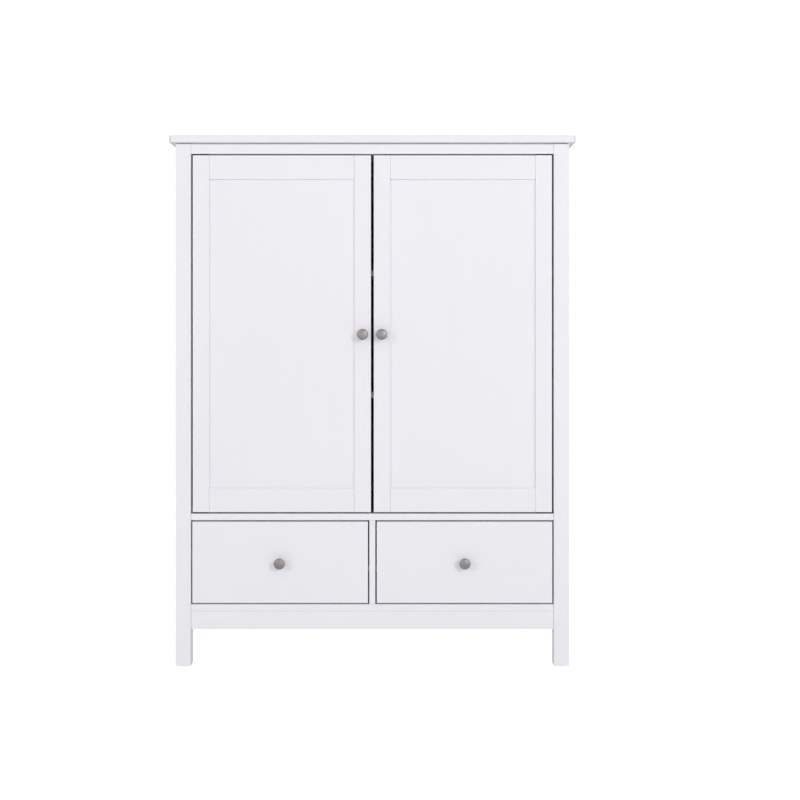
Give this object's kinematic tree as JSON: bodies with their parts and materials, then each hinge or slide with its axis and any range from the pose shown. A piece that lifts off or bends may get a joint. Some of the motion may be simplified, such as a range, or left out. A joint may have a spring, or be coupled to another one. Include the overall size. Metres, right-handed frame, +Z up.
{
  "type": "armoire",
  "caption": "White lacquered armoire with framed double doors over shelves, inset drawers below, round metal knobs, post legs and an overhanging top board.",
  "frame": {"origin": "on the floor, under the centre of the whole object's box, knobs and top board included", "axes": "+Z up, -Y out of the doors, +X to the right seen from the front"},
  "size_m": [1.07, 0.508, 1.4],
  "materials": {
    "white_lacquer": "white satin lacquer on wood",
    "inner_lacquer": "thin white lacquer on board",
    "thin_board": "white faced hardboard",
    "raw_pine": "planed pine with clear lacquer",
    "knob_metal": "satin brushed nickel",
    "zinc_steel": "zinc plated",
    "black_steel": "black finished steel",
    "brass_bush": "plain turned brass",
    "black_plastic": "moulded black plastic",
    "white_plastic": "moulded white plastic"
  },
  "bodies": {
    "carcass": {"top_board": "white_lacquer", "front_left_post": "white_lacquer", "front_right_post": "white_lacquer", "rear_left_post": "white_lacquer", "rear_right_post": "white_lacquer", "left_side_panel": "white_lacquer", "right_side_panel": "white_lacquer", "left_side_top_rail": "white_lacquer", "right_side_top_rail": "white_lacquer", "left_side_bottom_rail": "white_lacquer", "right_side_bottom_rail": "white_lacquer", "top_front_rail": "white_lacquer", "top_back_rail": "inner_lacquer", "mid_board": "white_lacquer", "bottom_board": "white_lacquer", "apron": "white_lacquer", "drawer_divider": "white_lacquer", "divider_cap": "white_plastic", "back_panel": "thin_board", "upper_shelf": "inner_lacquer", "lower_shelf": "inner_lacquer", "shelf_pins": "zinc_steel", "foot_glides": "white_plastic", "cam_locks": "zinc_steel", "wall_plate": "zinc_steel", "left_door_pivots": "black_steel", "right_door_pivots": "black_steel", "door_catch": "black_plastic", "left_drawer_runners": "raw_pine", "right_drawer_runners": "raw_pine"},
    "left_door": {"left_door_hinge_stile": "white_lacquer", "left_door_lock_stile": "white_lacquer", "left_door_top_rail": "white_lacquer", "left_door_bottom_rail": "white_lacquer", "left_door_panel": "white_lacquer", "left_door_knob": "knob_metal", "left_door_bushes": "brass_bush", "left_door_fixings": "zinc_steel"},
    "right_door": {"right_door_hinge_stile": "white_lacquer", "right_door_lock_stile": "white_lacquer", "right_door_top_rail": "white_lacquer", "right_door_bottom_rail": "white_lacquer", "right_door_panel": "white_lacquer", "right_door_knob": "knob_metal", "right_door_bushes": "brass_bush", "right_door_fixings": "zinc_steel"},
    "left_drawer": {"left_drawer_front": "white_lacquer", "left_drawer_outer_side": "raw_pine", "left_drawer_inner_side": "raw_pine", "left_drawer_back": "raw_pine", "left_drawer_bottom": "thin_board", "left_drawer_knob": "knob_metal", "left_drawer_fixings": "zinc_steel"},
    "right_drawer": {"right_drawer_front": "white_lacquer", "right_drawer_outer_side": "raw_pine", "right_drawer_inner_side": "raw_pine", "right_drawer_back": "raw_pine", "right_drawer_bottom": "thin_board", "right_drawer_knob": "knob_metal", "right_drawer_fixings": "zinc_steel"}
  },
  "joints": [
    {"name": "left_door_hinge", "type": "hinge", "parent": "carcass", "child": "left_door", "pos_m": [-0.4599, -0.217, 0.4045], "axis": [0, 0, -1], "range_deg": [0, 110]},
    {"name": "right_door_hinge", "type": "hinge", "parent": "carcass", "child": "right_door", "pos_m": [0.4599, -0.217, 0.4045], "axis": [0, 0, 1], "range_deg": [0, 110]},
    {"name": "left_drawer_slide", "type": "slide", "parent": "carcass", "child": "left_drawer", "axis": [0, -1, 0], "range_m": [0, 0.32]},
    {"name": "right_drawer_slide", "type": "slide", "parent": "carcass", "child": "right_drawer", "axis": [0, -1, 0], "range_m": [0, 0.32]}
  ]
}
